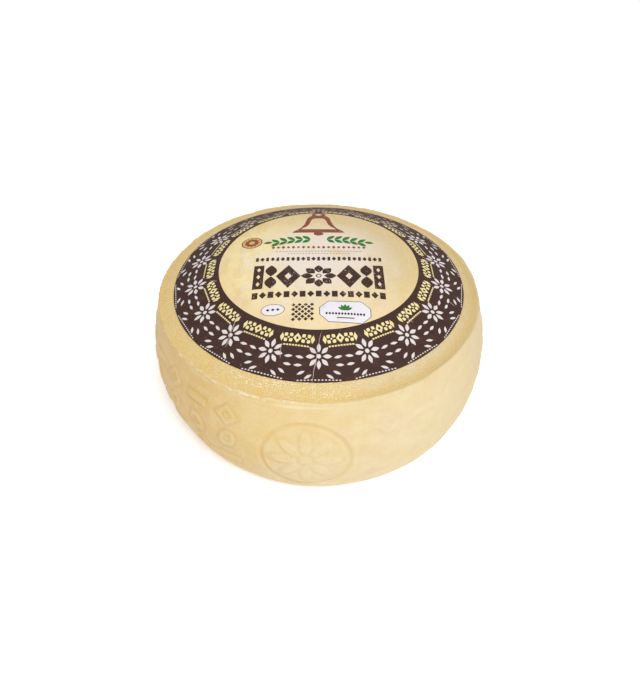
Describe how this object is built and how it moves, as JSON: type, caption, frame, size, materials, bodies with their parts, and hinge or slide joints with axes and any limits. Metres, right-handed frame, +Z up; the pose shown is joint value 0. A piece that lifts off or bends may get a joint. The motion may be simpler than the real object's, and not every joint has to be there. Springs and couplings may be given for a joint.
{
  "type": "asiago cheese wheel",
  "caption": "Whole uncut wheel of pale pressed cheese with a bulging marked side and a round paper label on its domed top, lying flat.",
  "frame": {"origin": "on the surface the wheel lies on, under the centre of its outline", "axes": "+Z up out of the labelled top, -Y towards the front, where a round mark shows on the side"},
  "size_m": [0.3362, 0.346, 0.1447],
  "materials": {
    "cheese": "satin",
    "label": "satin"
  },
  "bodies": {
    "root": {"cheese_wheel": "cheese", "label": "label"}
  },
  "joints": []
}
